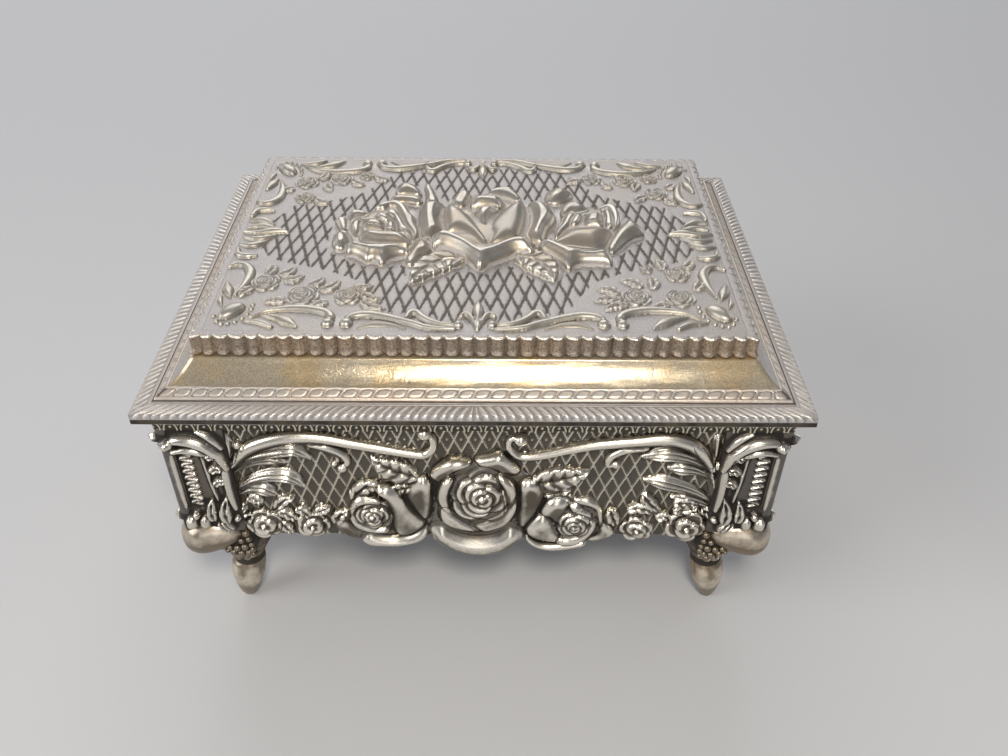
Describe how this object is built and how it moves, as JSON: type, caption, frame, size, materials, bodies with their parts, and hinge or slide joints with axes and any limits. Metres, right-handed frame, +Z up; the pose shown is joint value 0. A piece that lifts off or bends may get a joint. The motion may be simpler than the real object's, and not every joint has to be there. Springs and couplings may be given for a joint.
{
  "type": "rosary box",
  "caption": "Footed cast-metal rosary box with rose and scroll relief, velvet lining and a stepped lid that swings open on a rear hinge.",
  "frame": {"origin": "on the ground under the feet, at the centre of the lid's outline", "axes": "+Z up, -Y the front that faces the user, +X the user's right; the hinge is at +Y"},
  "size_m": [0.115, 0.0872, 0.0692],
  "materials": {
    "lid_casting": "satin",
    "body_casting": "satin",
    "foot_casting": "satin",
    "base_plate_metal": "satin",
    "screw_metal": "satin",
    "pin_metal": "satin",
    "lining_card": "matte",
    "velvet": "matte"
  },
  "bodies": {
    "box": {"box_body": "body_casting", "base_plate": "base_plate_metal", "foot_front_left": "foot_casting", "foot_front_right": "foot_casting", "foot_back_left": "foot_casting", "foot_back_right": "foot_casting", "foot_screws": "screw_metal", "floor_board": "lining_card", "floor_pad": "velvet", "lining_front": "velvet", "lining_back": "velvet", "lining_left": "velvet", "lining_right": "velvet", "hinge_pin_left": "pin_metal", "hinge_pin_right": "pin_metal"},
    "lid": {"lid_casting": "lid_casting", "lid_board": "lining_card", "lid_pad": "velvet"}
  },
  "joints": [
    {"name": "lid_hinge", "type": "hinge", "parent": "box", "child": "lid", "pos_m": [0, 0.04215, 0.0543], "axis": [-1, 0, 0], "range_deg": [0, 105]}
  ]
}
